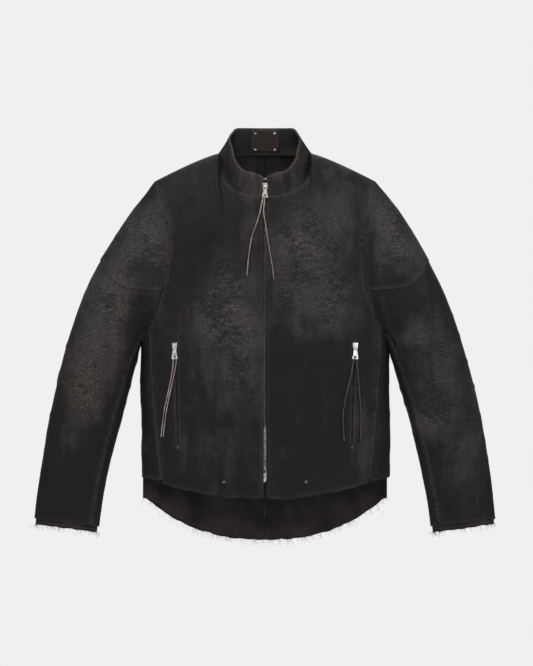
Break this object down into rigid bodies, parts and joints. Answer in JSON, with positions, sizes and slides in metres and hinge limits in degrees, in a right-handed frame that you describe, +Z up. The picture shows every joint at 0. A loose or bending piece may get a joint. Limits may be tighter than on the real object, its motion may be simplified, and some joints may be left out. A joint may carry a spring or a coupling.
{
  "type": "leather jacket",
  "caption": "Raw-edged leather jacket with a stand collar, full front zip, two upright pocket zips with leather laces, two-piece sleeves and a dropped back tail.",
  "frame": {"origin": "nape: the middle of the back neck seam", "axes": "+X to the wearer's left, -Y out of the front, +Z up, hanging closed with the arms down"},
  "size_m": [0.926, 0.1303, 0.8291],
  "materials": {
    "jacket_leather": "very dark charcoal, worn and creased, semi-matt",
    "worn_leather": "brown-black, scuffed",
    "lining": "brown-black woven cloth",
    "zip_tape": "black woven tape",
    "nickel": "bright nickel plate",
    "lace": "pale raw leather thong"
  },
  "bodies": {
    "torso": {"left_back_panel": "jacket_leather", "left_side_panel": "jacket_leather", "left_front_panel_outer": "jacket_leather", "left_back_lining": "lining", "left_side_lining": "lining", "left_sleeve_cap": "jacket_leather", "left_pocket_tape": "zip_tape", "left_pocket_zip_chain": "nickel", "left_pocket_bag": "lining", "left_pocket_rivet": "nickel", "right_back_panel": "jacket_leather", "right_side_panel": "jacket_leather", "right_front_panel_outer": "jacket_leather", "right_back_lining": "lining", "right_side_lining": "lining", "right_sleeve_cap": "jacket_leather", "right_pocket_tape": "zip_tape", "right_pocket_zip_chain": "nickel", "right_pocket_bag": "lining", "right_pocket_rivet": "nickel", "collar_rear": "jacket_leather", "collar_facing_rear": "jacket_leather", "neck_patch": "worn_leather", "neck_patch_rivet_1": "nickel", "neck_patch_rivet_2": "nickel", "neck_patch_rivet_3": "nickel", "neck_patch_rivet_4": "nickel"},
    "left_front": {"left_front_panel_inner": "jacket_leather", "left_collar_front": "jacket_leather", "left_collar_facing_front": "jacket_leather", "left_front_lining": "lining", "left_zip_tape": "zip_tape", "left_zip_teeth": "nickel", "left_zip_top_stop": "nickel", "left_hem_stud": "nickel", "zip_pin": "nickel"},
    "right_front": {"right_front_panel_inner": "jacket_leather", "right_collar_front": "jacket_leather", "right_collar_facing_front": "jacket_leather", "right_front_lining": "lining", "right_zip_tape": "zip_tape", "right_zip_teeth": "nickel", "right_zip_top_stop": "nickel", "right_hem_stud": "nickel", "zip_box": "nickel"},
    "left_sleeve": {"left_sleeve_top": "jacket_leather", "left_sleeve_under": "jacket_leather", "left_sleeve_lining": "lining"},
    "right_sleeve": {"right_sleeve_top": "jacket_leather", "right_sleeve_under": "jacket_leather", "right_sleeve_lining": "lining"},
    "main_slider": {"main_slider": "nickel", "main_lace": "lace"},
    "main_pull": {"main_pull": "nickel"},
    "left_pocket_slider": {"left_pocket_slider": "nickel", "left_pocket_lace": "lace"},
    "left_pocket_pull": {"left_pocket_pull": "nickel"},
    "right_pocket_slider": {"right_pocket_slider": "nickel", "right_pocket_lace": "lace"},
    "right_pocket_pull": {"right_pocket_pull": "nickel"}
  },
  "joints": [
    {"name": "right_front_open", "type": "hinge", "parent": "torso", "child": "right_front", "pos_m": [-0.095, -0.0582, -0.3735], "axis": [-0.047, 0, -0.9989], "range_deg": [0, 100]},
    {"name": "left_front_open", "type": "hinge", "parent": "torso", "child": "left_front", "pos_m": [0.095, -0.0582, -0.3735], "axis": [-0.047, 0, 0.9989], "range_deg": [0, 100]},
    {"name": "main_zip_slide", "type": "slide", "parent": "right_front", "child": "main_slider", "axis": [0, 0, -1], "range_m": [0, 0.56]},
    {"name": "main_pull_flip", "type": "hinge", "parent": "main_slider", "child": "main_pull", "pos_m": [0, -0.0659, -0.07], "axis": [-1, 0, 0], "range_deg": [0, 165]},
    {"name": "left_sleeve_swing", "type": "hinge", "parent": "torso", "child": "left_sleeve", "pos_m": [0.331, 0, -0.213], "axis": [0, -1, 0], "range_deg": [0, 35]},
    {"name": "right_sleeve_swing", "type": "hinge", "parent": "torso", "child": "right_sleeve", "pos_m": [-0.331, 0, -0.213], "axis": [0, 1, 0], "range_deg": [0, 35]},
    {"name": "left_pocket_zip_slide", "type": "slide", "parent": "torso", "child": "left_pocket_slider", "axis": [-0.0308, -0.0078, -0.9995], "range_m": [0, 0.185]},
    {"name": "left_pocket_pull_flip", "type": "hinge", "parent": "left_pocket_slider", "child": "left_pocket_pull", "pos_m": [0.18095, -0.04662, -0.388], "axis": [-0.9693, -0.2437, 0.0318], "range_deg": [0, 165]},
    {"name": "right_pocket_zip_slide", "type": "slide", "parent": "torso", "child": "right_pocket_slider", "axis": [0.0308, -0.0078, -0.9995], "range_m": [0, 0.185]},
    {"name": "right_pocket_pull_flip", "type": "hinge", "parent": "right_pocket_slider", "child": "right_pocket_pull", "pos_m": [-0.18095, -0.04662, -0.388], "axis": [-0.9693, 0.2437, -0.0318], "range_deg": [0, 165]}
  ],
  "couplings": [
    {"joint": "right_front_open", "follows": "main_zip_slide", "rad_per_m": 3.1},
    {"joint": "left_front_open", "follows": "main_zip_slide", "rad_per_m": 3.1}
  ]
}
